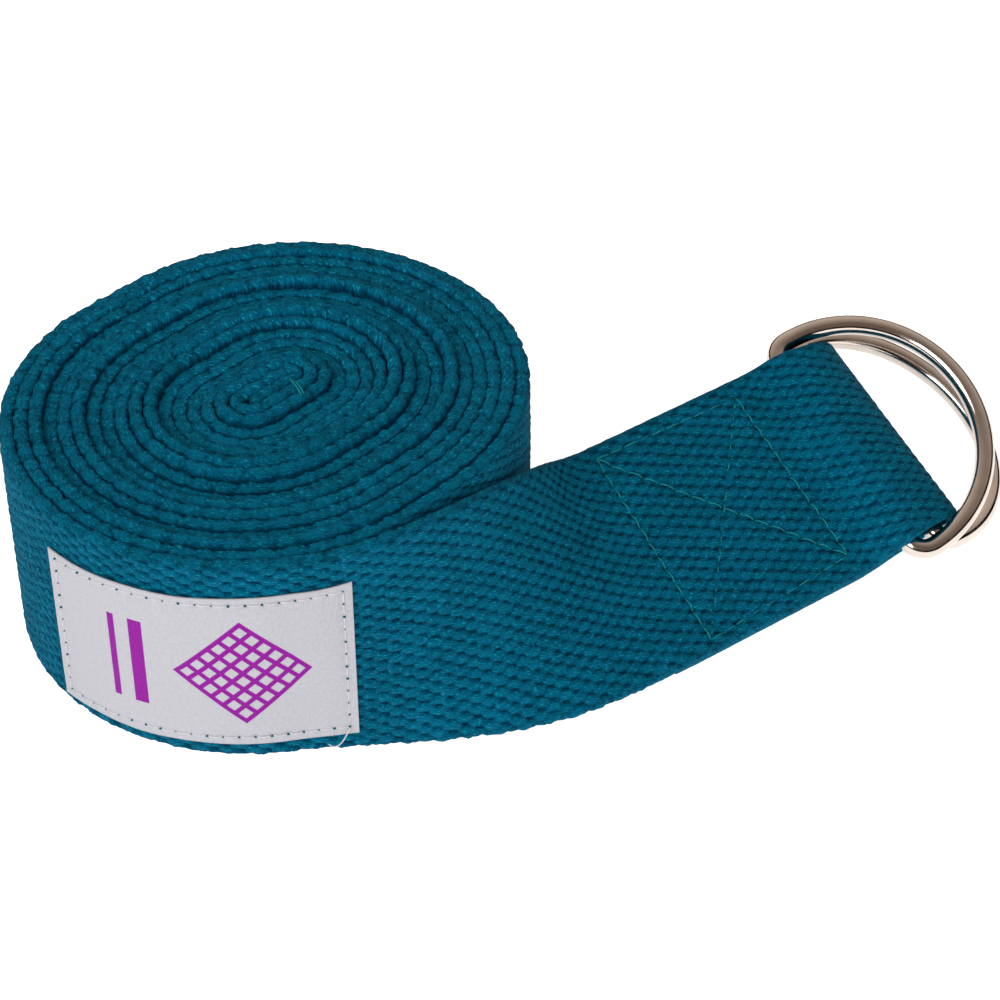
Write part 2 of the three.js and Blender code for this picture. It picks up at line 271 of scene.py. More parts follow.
def centre_line():
    """The strap's middle in plan: rows of length along, x, y and heading."""
    halves = [half_turn(index) for index in range(math.ceil(TURNED_ANGLE / math.pi))]
    tail = halves[0][0] - [CORE_STRAIGHT * math.cos(CORE_HEADING),
                           CORE_STRAIGHT * math.sin(CORE_HEADING), 0]
    roll = np.concatenate([tail[None], *halves])
    leave = roll[-1]
    leave_way = np.array([math.cos(leave[2]), math.sin(leave[2])])
    end_way = np.array([math.cos(END_HEADING), math.sin(END_HEADING)])
    handles = [leave[:2] + LEAVE_HANDLE * leave_way, END_START - END_HANDLE * end_way]
    shares = np.linspace(0, 1, CURVE_SAMPLES)
    points, headings = bezier([leave[:2], *handles, END_START], shares)
    whole = leave[2] - headings[0]
    curve = np.column_stack([points, headings + whole])[1:]
    far = np.array([*(END_START + END_RUN * end_way), curve[-1, 2]])
    line = np.concatenate([roll, curve, far[None]])
    length = path_length(line[:, :2])
    return soften(np.column_stack([length - length[len(roll) - 1], line]))


def soften(table):
    """The same path, with the changes of its bend spread out along the free end."""
    rolled = table[table[:, 0] < SOFT_FROM]
    length = np.arange(SOFT_FROM, table[-1, 0], SOFT_STEP)
    free = np.column_stack([np.interp(length, table[:, 0], column) for column in table.T])
    reach = np.arange(-SOFT_REACH, SOFT_REACH + 1)
    weights = np.exp(-(reach * SOFT_STEP / SOFT_LENGTH) ** 2 / 2)
    margin = ((SOFT_REACH, SOFT_REACH), (0, 0))
    padded = np.pad(free, margin, mode="reflect", reflect_type="odd")
    spread = [np.convolve(column, weights / weights.sum(), "valid") for column in padded.T]
    share = smooth(length, SOFT_FROM, SOFT_TO)[:, None]
    return np.concatenate([rolled, free + share * (np.array(spread).T - free)])


LINE = centre_line()
TAIL_END = LINE[0, 0]


def on_strap(along, across, out):
    """Places in millimetres of points given along, across and out of the strap."""
    along, across, out = np.broadcast_arrays(along, across, out)
    x, y, heading = (np.interp(along, LINE[:, 0], LINE[:, column]) for column in (1, 2, 3))
    roll = END_ROLL * smooth(along, ROLL_FROM, ROLL_TO)
    lift = END_LIFT * smooth(along, LIFT_FROM, LIFT_TO)
    inward = across * np.sin(roll) - out * np.cos(roll)
    return np.stack(
        [
            x - np.sin(heading) * inward,
            y + np.cos(heading) * inward,
            HALF_STRAP * np.sin(roll) + lift + across * np.cos(roll) + out * np.sin(roll),
        ],
        axis=-1,
    )


def strap_axes(along):
    """Unit vectors along, across and out of the strap at one place."""
    origin = on_strap(along, 0, 0)
    across = on_strap(along, 1, 0) - origin
    out = on_strap(along, 0, 1) - origin
    return np.cross(across, out), across, out


# ---------------- woven relief

rng = np.random.default_rng(38)
GRAIN_CHANCE = rng.uniform(-1, 1, (4, CHANCE_YARNS, CHANCE_GRAINS))
WANDER_CHANCE = rng.uniform(-1, 1, 4096)


def wander(along, spacing, first=0):
    """Smooth chance from -1 to 1 that changes over a spacing. First picks another run of chance."""
    place = np.asarray(along, float) / spacing + first
    cell = np.floor(place).astype(int)
    share = smooth(place - cell, 0, 1)
    start, end = (WANDER_CHANCE[(cell + step) % len(WANDER_CHANCE)] for step in (0, 1))
    return start + (end - start) * share


def grains(along, across):
    """Height of the yarn grains, from 0 in the pits between them to about 1."""
    along, across = np.broadcast_arrays(along, across)
    nearest = np.floor(across / YARN_PITCH).astype(int)
    height = np.zeros(along.shape)
    for aside in YARNS_IN_REACH:
        yarn = nearest + aside
        stagger = (yarn % 2) * GRAIN_PITCH / 2
        grain = np.round((along - stagger) / GRAIN_PITCH).astype(int)
        shift, lean, size, lift = GRAIN_CHANCE[:, yarn % CHANCE_YARNS, grain % CHANCE_GRAINS]
        from_middle = along - stagger - GRAIN_PITCH * grain - CHANCE_ALONG * shift
        from_yarn = across - (yarn + 0.5) * YARN_PITCH - CHANCE_ASIDE * lift
        tilt = GRAIN_TILT + CHANCE_LEAN * lean
        long_way = from_middle * np.cos(tilt) + from_yarn * np.sin(tilt)
        short_way = from_yarn * np.cos(tilt) - from_middle * np.sin(tilt)
        spread = 1 + CHANCE_SIZE * size
        dome = (
            1
            - np.abs(long_way / (GRAIN_HALF_LENGTH * spread)) ** GRAIN_SQUARENESS
            - (short_way / (GRAIN_HALF_WIDTH * spread)) ** 2
        )
        dive = 1 - GRAIN_DIVE * long_way / GRAIN_HALF_LENGTH + CHANCE_LIFT * lift
        height = np.maximum(height, dive * np.clip(dome, 0, None) ** GRAIN_FULLNESS)
    return height


def selvedge(along, turn):
    """Height of the edge's loops. Turn is 1 at the outer face and -1 at the inner face."""
    shifted = along
    for reach, spacing, first in LOOP_DRIFTS:
        shifted = shifted + reach * wander(along, spacing, first)
    scallop = 0.5 + 0.5 * np.cos(FULL_TURN * shifted / SCALLOP_PITCH)
    slant = LOOP_SLANT * np.abs(turn - LOOP_CREST)
    loops = np.abs(np.sin(math.pi * (shifted / LOOP_PITCH + slant))) ** LOOP_FULLNESS
    strand = np.round(RAGGED_STRANDS * turn)
    ragged = wander(along + turn + STRAND_SHIFT * strand, RAGGED_LENGTH, RAGGED_FIRST)
    return SCALLOP_RELIEF * scallop + LOOP_RELIEF * loops + RAGGED * ragged


def looseness(along, edge_way):
    """How much of the selvedge's relief is left where the edge is drawn tight."""
    high, low = (
        sum(share * smooth(along, start, end) for share, start, end in stretches)
        for stretches in (TIGHT_HIGH, TIGHT_LOW)
    )
    return 1 - np.where(edge_way > 0, high, low)


def roll_height(along):
    """How far the upper edge of each turn of the roll stands above or below the strap's width."""
    return ROLL_UNEVEN * wander(along, ROLL_UNEVEN_LENGTH) * smooth(-along, UNEVEN_FROM, UNEVEN_TO)


# ---------------- meshes

def section(outer_count, inner_count, edge_count, outer_half=HALF_STRAP, inner_half=HALF_STRAP):
    """The strap's closed cross section, as arrays of across, out and their outward direction, and
    turn: 1 on the outer face, -1 on the inner face, and cos of the way round on the edges."""
    half = {1: outer_half, -1: inner_half}
    low, high = EDGE_ROUND, STRAP_WIDTH - EDGE_ROUND
    way_round = math.pi * (np.arange(edge_count) + 0.5) / edge_count
    columns = []

    def face(count, start, end, side):
        for across in np.linspace(start, end, count):
            columns.append((across, side * half[side], 0, side, side, 0))

    def edge(centre, side, angles):
        for angle in angles:
            reach = math.sin(angle)
            turn = math.cos(angle)
            across = centre + side * EDGE_ROUND * reach
            out = half[1 if turn > 0 else -1] * turn
            columns.append((across, out, side * reach, turn, turn, side * reach))

    face(inner_count, low, high, -1)
    edge(high, 1, way_round[::-1])
    face(outer_count, high, low, 1)
    edge(low, -1, way_round)
    return np.array(columns, float).T


def woven_grid(place, along, columns, relief, outer_relief=1, inner_relief=1, uneven=True):
    """Points of a stretch of web, and for each point its place in the weave and its painted shade,
    which follows the grains' relief on the faces.
    """
    across, out, across_way, out_way, turn, edge_way = columns[:, None, :]
    along = along[:, None]
    on_edge = smooth(np.abs(edge_way), EDGE_FROM, EDGE_TO)
    strength = np.where(out_way > 0, outer_relief, inner_relief)
    weave = grains(along + np.where(turn < 0, GRAIN_PITCH / 2, 0), across)
    raised = (GRAIN_RELIEF * weave - GRAIN_SINK) * strength * relief[:, None]
    edge = selvedge(along + np.where(edge_way < 0, LOOP_PITCH, 0), turn)
    raised = raised * (1 - on_edge) + edge * looseness(along, edge_way) * on_edge
    height = np.where(edge_way > 0, roll_height(along) * np.abs(edge_way), 0) if uneven else 0
    standing = 1 - smooth(along, 0, STANDS_TO)
    lowest = np.where(edge_way < 0, FOOT * standing * np.abs(edge_way), 0)
    points = place(
        along, across + across_way * raised + height + lowest, out + out_way * raised
    )
    # Painted light and shade on the edges: lighter on the loop crests, darker towards the faces as
    # painted shade in the grooves between turns
    crest = edge / (SCALLOP_RELIEF + LOOP_RELIEF)
    edge_shade = EDGE_SHADE + EDGE_SHADE_RISE * crest - EDGE_SHADE_FALL * turn ** 4
    # Painted shade on the faces follows the grains' height, darker in the pits; snug faces with
    # strength 0 are painted dark as the shade in the tight gaps between turns
    shade = weave * np.minimum(strength, 1) * (1 - on_edge) + edge_shade * on_edge
    way_round = np.sign(edge_way) * EDGE_ROUND * np.arccos(turn)
    info = np.stack(np.broadcast_arrays(along, across + way_round, shade), axis=-1)
    return points, info


def new_object(name, points, faces, material, smooth_faces=True):
    """A new object in the scene, in metres, from points in millimetres."""
    mesh = bpy.data.meshes.new(name)
    mesh.from_pydata((np.asarray(points) * MM).tolist(), [], faces)
    mesh.polygons.foreach_set("use_smooth", [smooth_faces] * len(mesh.polygons))
    mesh.materials.append(material)
    piece = bpy.data.objects.new(name, mesh)
    bpy.context.scene.collection.objects.link(piece)
    return piece


def quads(rows, columns, closed_rows=False):
    """Faces of a grid whose columns close on themselves."""
    row = np.arange(rows if closed_rows else rows - 1)[:, None]
    column = np.arange(columns)[None, :]
    after = (column + 1) % columns
    below = (row + 1) % rows
    corners = [
        row * columns + column,
        row * columns + after,
        below * columns + after,
        below * columns + column,
    ]
    return np.stack(corners, axis=-1).reshape(-1, 4).tolist()


def closed_grid(rows, columns):
    """Faces of a grid whose columns close on themselves, with one more face over each end."""
    start = list(range(columns))
    end = [(rows - 1) * columns + column for column in start]
    return [*quads(rows, columns), start[::-1], end]


def loft(name, points, info, material):
    """A closed piece from a grid that has one row to spare at each end, which shapes the shading."""
    across_way = np.roll(points, -1, axis=1) - np.roll(points, 1, axis=1)
    along_way = np.gradient(points, axis=0)
    normals = np.cross(across_way, along_way)
    normals /= np.linalg.norm(normals, axis=-1, keepdims=True)
    points, info, normals = (grid[1:-1] for grid in (points, info, normals))
    faces = closed_grid(*points.shape[:2])
    piece = new_object(name, points.reshape(-1, 3), faces, material)
    weave = piece.data.attributes.new("weave", "FLOAT_VECTOR", "POINT")
    weave.data.foreach_set("vector", info.astype(np.float32).ravel())
    piece.data.normals_split_custom_set_from_vertices(normals.reshape(-1, 3).tolist())
    return piece


def tube(centres, radius, sides, closed=False):
    """Points and faces of round wire or thread along a line. Radius may differ along it."""
    centres = np.asarray(centres, float)
    if closed:
        tangents = np.roll(centres, -1, axis=0) - np.roll(centres, 1, axis=0)
    else:
        tangents = np.gradient(centres, axis=0)
    tangents /= np.linalg.norm(tangents, axis=1, keepdims=True)
    spread = centres - centres.mean(axis=0)
    flat_way = np.linalg.svd(spread, full_matrices=True)[2][2]
    aside = np.cross(flat_way, tangents)
    aside /= np.linalg.norm(aside, axis=1, keepdims=True)
    up = np.cross(tangents, aside)
    angles = FULL_TURN * np.arange(sides) / sides
    radius = np.broadcast_to(radius, len(centres))[:, None, None]
    cosines, sines = (wave(angles)[None, :, None] for wave in (np.cos, np.sin))
    points = centres[:, None] + radius * (cosines * aside[:, None] + sines * up[:, None])
    rows = len(centres)
    faces = quads(rows, sides, closed_rows=True) if closed else closed_grid(rows, sides)
    return points.reshape(-1, 3), faces


def join_parts(parts):
    """One list of points and one of faces from several (points, faces)."""
    points, faces, offset = [], [], 0
    for part_points, part_faces in parts:
        points.append(part_points)
        faces.extend([[corner + offset for corner in face] for face in part_faces])
        offset += len(part_points)
    return np.concatenate(points), faces


# ---------------- materials

class Nodes:
    """A material's node tree, with short ways to add to it."""

    def __init__(self, name):
        self.material = bpy.data.materials.new(name)
        self.material.use_nodes = True
        self.tree = self.material.node_tree
        self.shader = self.tree.nodes["Principled BSDF"]

    def set(self, node, socket, value):
        target = node.inputs[socket]
        if isinstance(value, bpy.types.NodeSocket):
            self.tree.links.new(value, target)
        else:
            target.default_value = value

    def add(self, kind, inputs=None, **settings):
        node = self.tree.nodes.new(kind)
        for name, value in settings.items():
            setattr(node, name, value)
        for socket, value in (inputs or {}).items():
            self.set(node, socket, value)
        return node

    def finish_with(self, **values):
        for socket, value in values.items():
            self.set(self.shader, socket.replace("_", " "), value)

    def math(self, operation, first, second=0.0, third=0.0):
        node = self.add("ShaderNodeMath", {0: first, 1: second, 2: third}, operation=operation)
        return node.outputs[0]

    def attribute(self, name):
        """The three parts of a vector that each vertex holds."""
        vector = self.add("ShaderNodeAttribute", attribute_name=name).outputs["Vector"]
        parts = self.add("ShaderNodeSeparateXYZ", {"Vector": vector})
        return [parts.outputs[axis] for axis in "XYZ"]

    def vector(self, x, y, z=0.0):
        return self.add("ShaderNodeCombineXYZ", {"X": x, "Y": y, "Z": z}).outputs[0]

    def noise(self, vector, scale, detail=2.0, roughness=0.5):
        inputs = {"Vector": vector, "Scale": scale, "Detail": detail, "Roughness": roughness}
        return self.add("ShaderNodeTexNoise", inputs).outputs["Fac"]

    def spread(self, value, low, high, to_low, to_high):
        inputs = {0: value, 1: low, 2: high, 3: to_low, 4: to_high}
        return self.add("ShaderNodeMapRange", inputs, clamp=True).outputs[0]

    def vary(self, noise, to_low, to_high):
        """The range that most of a noise has, as a range of its own."""
        return self.spread(noise, 0.3, 0.7, to_low, to_high)

    def ramp(self, value, stops):
        node = self.add("ShaderNodeValToRGB", {"Fac": value})
        elements = node.color_ramp.elements
        while len(elements) < len(stops):
            elements.new(0.5)
        for element, (position, colour) in zip(elements, stops):
            element.position = position
            element.color = (*colour, 1)
        return node.outputs["Color"]

    def mix(self, share, first, second, blend_type="MIX"):
        node = self.add("ShaderNodeMix", data_type="RGBA", blend_type=blend_type)
        self.set(node, 0, share)
        self.set(node, 6, first)
        self.set(node, 7, second)
        return node.outputs[2]

    def bump(self, height, distance, strength=1.0):
        inputs = {"Height": height, "Distance": distance, "Strength": strength}
        return self.add("ShaderNodeBump", inputs).outputs["Normal"]


# Web colours from pit to crest: the darker steps are painted shade in the pits between grains, in the
# grooves between turns and on snug faces
WEB_PIT_SHADE = (0.0004, 0.035, 0.083)
WEB_MIDDLE = (0.0008, 0.097, 0.202)
WEB_CREST = (0.0016, 0.174, 0.328)
# Painted glint colour for the pale loose fibres
WEB_FIBRE_GLINT = (0.012, 0.52, 0.76, 1)
SHEEN_TEAL = (0.02, 0.5, 0.62, 1)
GLOSS_TEAL = (0.05, 0.7, 0.85, 1)
THREAD_TEAL = (0.003, 0.105, 0.145)
THREAD_TEAL_PALE = (0.016, 0.34, 0.38)
THREAD_WHITE = (0.40, 0.41, 0.44)
THREAD_WHITE_PALE = (0.60, 0.60, 0.63)
# The strap's teal in the label's needle holes, painted darker as the shade inside the holes
HOLE_SHADE_TEAL = (0.002, 0.05, 0.08)
HOLE_SHADE_TEAL_PALE = (0.01, 0.16, 0.2)
TWIST_SLOPE, TWIST_FINENESS = 0.55, 4.6
LOOSE_SLOPE, LOOSE_FINENESS = -0.3, 5.5
STREAK_SHARE = 1.3


def slanted_noise(nodes, along, across, slope, fineness, seed):
    """Streaks that run up at a slope (rise per length) along the strap."""
    upward = nodes.math("MULTIPLY_ADD", along, -slope, across)
    fine = nodes.math("MULTIPLY", upward, fineness)
    streaks = nodes.vector(nodes.math("MULTIPLY", along, STREAK_SHARE), fine, seed)
    return nodes.noise(streaks, 1.0, 3.0, 0.65)


def webbing_material():
    """Cotton web: darker in the pits as painted shade, with slanted fibres in each yarn and pale
    loose ones on top as painted glints.
    """
    nodes = Nodes("webbing")
    # height here is the painted shade value from woven_grid: low in pits, grooves and snug gaps, high
    # on crests
    along, across, height = nodes.attribute("weave")
    fibres = slanted_noise(nodes, along, across, TWIST_SLOPE, TWIST_FINENESS, 0.0)
    loose = slanted_noise(nodes, along, across, LOOSE_SLOPE, LOOSE_FINENESS, 17.0)
    wisps = nodes.noise(nodes.vector(along, across, 5.0), 2.6, 4.0, 0.75)
    dye = nodes.noise(nodes.vector(along, across, 9.0), 0.11, 2.0)
    level = nodes.math("ADD", height, nodes.vary(fibres, -0.45, 0.45))
    level = nodes.math("ADD", level, nodes.vary(wisps, -0.3, 0.3))
    # Painted shade: the colour darkens from crest to pit as the painted shade value falls
    colour = nodes.ramp(level, [(0.05, WEB_PIT_SHADE), (0.5, WEB_MIDDLE), (1.0, WEB_CREST)])
    shade = nodes.vary(dye, 0.86, 1.1)
    colour = nodes.mix(1.0, colour, nodes.vector(shade, shade, shade), "MULTIPLY")
    # Painted glints: pale loose-fibre streaks, mixed in mostly where the painted shade value is high,
    # on the grains' tops
    glint_on_top = nodes.spread(height, 0.3, 0.8, 0.15, 1.0)
    pale = nodes.math("MULTIPLY", nodes.spread(loose, 0.55, 0.64, 0.0, 0.8), glint_on_top)
    colour = nodes.mix(pale, colour, WEB_FIBRE_GLINT)
    relief = nodes.math("ADD", fibres, nodes.math("MULTIPLY", wisps, 1.2))
    relief = nodes.math("ADD", relief, nodes.math("MULTIPLY", loose, 0.6))
    nodes.finish_with(
        Base_Color=colour,
        Roughness=nodes.vary(wisps, 0.74, 0.95),
        Specular_IOR_Level=0.1,
        Specular_Tint=GLOSS_TEAL,
        Sheen_Weight=0.08,
        Sheen_Roughness=0.4,
        Sheen_Tint=SHEEN_TEAL,
        Normal=nodes.bump(relief, 0.0009, 1.0),
    )
    return nodes.material


NICKEL_DULL = (0.56, 0.51, 0.465)
NICKEL_BRIGHT = (0.64, 0.59, 0.545)


def nickel_material():
    """Nickel plate with a faint haze, and marks too fine to be seen one by one."""
    nodes = Nodes("nickel")
    place = nodes.add("ShaderNodeTexCoord").outputs["Object"]
    haze = nodes.noise(place, 260, 3.0)
    marks = nodes.noise(place, 2600, 2.0)
    nodes.finish_with(
        Base_Color=nodes.ramp(haze, [(0.3, NICKEL_DULL), (0.7, NICKEL_BRIGHT)]),
        Metallic=1.0,
        Roughness=nodes.vary(haze, 0.1, 0.17),
        Normal=nodes.bump(marks, 0.000004, 0.4),
    )
    return nodes.material


def thread_material(name, colour, pale):
    """Twisted sewing thread, whose strands are fine spots of a darker and a paler colour."""
    nodes = Nodes(name)
    place = nodes.add("ShaderNodeTexCoord").outputs["Object"]
    strands = nodes.noise(place, 5200, 2.0)
    nodes.finish_with(
        Base_Color=nodes.ramp(strands, [(0.3, colour), (0.75, pale)]),
        Roughness=nodes.vary(strands, 0.5, 0.75),
        Specular_IOR_Level=0.05,
        Normal=nodes.bump(strands, 0.00006, 0.8),
    )
    return nodes.material


LABEL_PALE = (0.388, 0.402, 0.444)
LABEL_RIB = (0.327, 0.341, 0.381)
MOTIF_PURPLE = (0.195, 0.002, 0.23, 1)
RIB_PITCH = 0.34
PICK_PITCH = 0.22


def label_material():
    """Satin tape with fine ribs, woven with two plain bars and a square lattice in purple."""
    nodes = Nodes("label_tape")
    along, across, _ = nodes.attribute("weave")
    ribs = nodes.math("SINE", nodes.math("MULTIPLY", along, FULL_TURN / RIB_PITCH))
    picks = nodes.math("SINE", nodes.math("MULTIPLY", across, FULL_TURN / PICK_PITCH))
    cloth = nodes.noise(nodes.vector(along, across), 1.7, 3.0)
    ribbed = nodes.spread(ribs, -1.0, 1.0, 0.2, 0.6)
    tone = nodes.math("ADD", ribbed, nodes.vary(cloth, -0.2, 0.4))
    colour = nodes.ramp(tone, [(0.0, LABEL_RIB), (0.8, LABEL_PALE)])
    colour = nodes.mix(label_motif(nodes, along, across), colour, MOTIF_PURPLE)
    relief = nodes.math("MULTIPLY_ADD", ribs, 0.5, nodes.math("MULTIPLY", picks, 0.3))
    nodes.finish_with(
        Base_Color=colour,
        Roughness=nodes.vary(cloth, 0.5, 0.68),
        Specular_IOR_Level=0.12,
        Normal=nodes.bump(relief, 0.00003, 0.5),
    )
    return nodes.material


MOTIF_BARS = [(11.5, 1.1), (15.5, 2.2)]
MOTIF_BAR_HALF_HEIGHT = 8.2
MOTIF_MIDDLE = (31.0, 14.5)
MOTIF_PITCH = 3.2
MOTIF_LINE = 1.1
MOTIF_HALF = 3 * MOTIF_PITCH + MOTIF_LINE / 2


def label_motif(nodes, along, across):
    """1 where the label is woven in purple: two bars, and a lattice of squares turned on end."""
    height = nodes.math("ABSOLUTE", nodes.math("SUBTRACT", across, MOTIF_MIDDLE[1]))
    within = nodes.math("LESS_THAN", height, MOTIF_BAR_HALF_HEIGHT)
    pattern = 0.0
    for middle, width in MOTIF_BARS:
        aside = nodes.math("ABSOLUTE", nodes.math("SUBTRACT", along, middle))
        bar = nodes.math("MULTIPLY", nodes.math("LESS_THAN", aside, width / 2), within)
        pattern = nodes.math("MAXIMUM", pattern, bar)
    from_middle = nodes.math("SUBTRACT", along, MOTIF_MIDDLE[0])
    reach = nodes.math("ADD", nodes.math("ABSOLUTE", from_middle), height)
    inside = nodes.math("LESS_THAN", reach, MOTIF_HALF)
    lattice = 0.0
    up = nodes.math("SUBTRACT", across, MOTIF_MIDDLE[1])
    for operation in ("ADD", "SUBTRACT"):
        slant = nodes.math("DIVIDE", nodes.math(operation, from_middle, up), MOTIF_PITCH)
        past_line = nodes.math("SUBTRACT", slant, nodes.math("ROUND", slant))
        from_line = nodes.math("ABSOLUTE", past_line)
        line = nodes.math("LESS_THAN", from_line, MOTIF_LINE / (2 * MOTIF_PITCH))
        lattice = nodes.math("MAXIMUM", lattice, line)
    return nodes.math("MAXIMUM", pattern, nodes.math("MULTIPLY", inside, lattice))


# ---------------- the webbing

def stations(start, end, step):
    """Evenly spaced places, with one more beyond each end."""
    count = math.ceil((end - start) / step)
    step = (end - start) / count
    return start + step * np.arange(-1, count + 2)


def seam_press(along, across, holes, depth, reach):
    """How far a seam's stitch holes pull the cloth in."""
    press = np.zeros(np.broadcast_shapes(along.shape, across.shape))
    for hole_along, hole_across in holes:
        far = ((along - hole_along) ** 2 + (across - hole_across) ** 2) / reach ** 2
        press = np.maximum(press, np.exp(-np.minimum(far, FADED)))
    return depth * press


def webbing_piece(name, start, end, step, columns, material, outer, inner):
    """One stretch of the rolled or free strap."""
    along = stations(start, end, step)
    relief = np.ones(len(along))
    points, info = woven_grid(on_strap, along, columns, relief, outer, inner)
    piece = loft(name, points, info, material)
    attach(piece, "strap")
    return piece


def bar_at(ring, across):
    """Where a ring's bar is, along and out of the strap, at one place across it."""
    aside = across - ring["across"]
    return np.array(
        [ring["along"] + aside * ring["tilt_along"], ring["out"] + aside * ring["tilt_out"]]
    )


def arc(centre, radius, start, end):
    """Points of an arc that is followed clockwise, and the angles of its tangents."""
    angles = np.linspace(start, end, LOOP_SAMPLES)
    points = centre + radius * np.stack([np.cos(angles), np.sin(angles)], axis=1)
    return points, angles - math.pi / 2


def loop_profile(across):
    """Side view of the sewn end at one place across it, as rows of along, out and heading."""
    upper = bar_at(UPPER_RING, across) + [0, LOOP_SLACK * across / STRAP_WIDTH]
    lower = bar_at(LOWER_RING, across)
    radius = WIRE_RADIUS + BAR_CLEARANCE + HALF_STRAP
    shares = np.linspace(0, 1, LOOP_SAMPLES)
    rise_middle = (LOOP_MOUTH + upper[0]) / 2
    fall_middle = (LOOP_MOUTH + lower[0]) / 2
    top, bottom = upper[1] + radius, lower[1] - radius
    nose = lower[0] + radius + NOSE_SLACK
    flat_top = np.stack([LAP_END + (LOOP_MOUTH - LAP_END) * shares, 0 * shares], axis=1)
    back_along = LOOP_MOUTH + (LAP_END - LOOP_MOUTH) * shares
    flat_lap = np.stack([back_along, 0 * shares + LAP_OUT], axis=1)
    rise = [(LOOP_MOUTH, 0), (rise_middle, 0), (rise_middle, top), (upper[0], top)]
    round_nose = [
        (upper[0], top),
        (upper[0] + NOSE_HANDLE, top),
        (nose, lower[1] + radius),
        (nose, lower[1]),
    ]
    fall = [(lower[0], bottom), (fall_middle, bottom), (fall_middle, LAP_OUT), (LOOP_MOUTH, LAP_OUT)]
    curves = [
        (flat_top, 0 * shares),
        bezier(rise, shares),
        bezier(round_nose, shares),
        arc(lower, radius, 0, -math.pi / 2),
        bezier(fall, shares),
        (flat_lap, 0 * shares - math.pi),
    ]
    rows = [np.column_stack([points, np.unwrap(headings)]) for points, headings in curves]
    profile = np.concatenate(rows)
    profile[:, 2] = np.unwrap(profile[:, 2])
    return profile


FRONT_PROFILE = loop_profile(0)
BACK_PROFILE = loop_profile(STRAP_WIDTH)
MEAN_PROFILE = (FRONT_PROFILE + BACK_PROFILE) / 2
PROFILE_LENGTH = path_length(MEAN_PROFILE[:, :2])
LOOP_LENGTH = PROFILE_LENGTH[-1]


def on_loop(length, across, out):
    """Place of a point on the sewn end, given its length along the cloth from the lap's end line."""
    length, across, out = np.broadcast_arrays(length - LAP_END, across, out)
    share = across / STRAP_WIDTH
    front, back = (
        [np.interp(length, PROFILE_LENGTH, column) for column in profile.T]
        for profile in (FRONT_PROFILE, BACK_PROFILE)
    )
    along, level, heading = (a + (b - a) * share for a, b in zip(front, back))
    beyond = np.minimum(length, 0) + np.maximum(length - LOOP_LENGTH, 0)
    pinch = LOOP_PINCH * smooth(along, LOOP_MOUTH, LOWER_RING["along"])
    return on_strap(
        along + beyond * np.cos(heading) - out * np.sin(heading),
        across + pinch * (1 - 2 * share),
        level + out * np.cos(heading),
    )


def seam_holes(corners, pitch, closed=True):
    """Needle holes along a row of lines, evenly spaced from corner to corner."""
    holes = []
    ends = corners[1:] + corners[:1] if closed else corners[1:]
    for start, end in zip(corners, ends):
        count = max(1, round(math.dist(start, end) / pitch))
        for step in range(count):
            holes.append(tuple(np.array(start) + (np.array(end) - start) * step / count))
    if not closed:
        holes.append(tuple(corners[-1]))
    return holes


UPPER_LEFT, UPPER_RIGHT, LOWER_RIGHT, LOWER_LEFT = BOX_CORNERS
BOX_RUNS = [
    (seam_holes([start, end], BOX_STITCH, closed=False), height)
    for start, end, height in [
        (UPPER_LEFT, UPPER_RIGHT, -0.16),
        (UPPER_RIGHT, LOWER_RIGHT, -0.02),
        (LOWER_RIGHT, LOWER_LEFT, -0.26),
        (LOWER_LEFT, UPPER_LEFT, 0.0),
        (UPPER_LEFT, LOWER_RIGHT, 0.06),
        (LOWER_LEFT, UPPER_RIGHT, -0.28),
    ]
]
BOX_HOLES = [hole for run, _ in BOX_RUNS for hole in run]


def groove(along, across):
    """How far the seam's thread pulls the cloth in along its lines."""
    press = np.zeros(np.broadcast_shapes(along.shape, across.shape))
    for run, _ in BOX_RUNS:
        start = np.array(run[0])
        way = np.subtract(run[-1], run[0])
        share = ((along - start[0]) * way[0] + (across - start[1]) * way[1]) / (way @ way)
        share = np.clip(share, 0, 1)
        far = (along - start[0] - share * way[0]) ** 2 + (across - start[1] - share * way[1]) ** 2
        press = np.maximum(press, np.exp(-np.minimum(far / GROOVE_REACH ** 2, FADED)))
    return GROOVE_DEPTH * press


def loop_piece(material):
    """The sewn end, whose cloth is pressed in along the box-X seam and flatter round the fold."""
    along = stations(LAP_END, LAP_END + LOOP_LENGTH, LOOP_STEP)
    columns = section(140, 72, 8)
    plain_across, turn = columns[0][None, :], columns[4][None, :]
    on_outer_face = turn > PRESSED_TURN

    def from_roll(length):
        return np.interp(length - LAP_END, PROFILE_LENGTH, MEAN_PROFILE[:, 0])

    def place(length, across, out):
        holes = seam_press(from_roll(length), plain_across, BOX_HOLES, *BOX_HOLE)
        press = holes + groove(from_roll(length), plain_across)
        return on_loop(length, across, out - press * on_outer_face)

    relief = 1 - FOLD_FLATNESS * smooth(from_roll(along), FOLD_FROM, FOLD_TO)
    points, info = woven_grid(
        place, along, columns, relief, inner_relief=LOOP_INNER_RELIEF, uneven=False
    )
    piece = loft("webbing_ring_loop_cloth", points, info, material)
    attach(piece, "strap")
    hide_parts("webbing_ring_loop")


LEAD_START = -14
OUTER_TURN_START = -236
MIDDLE_TURNS_START = -1290


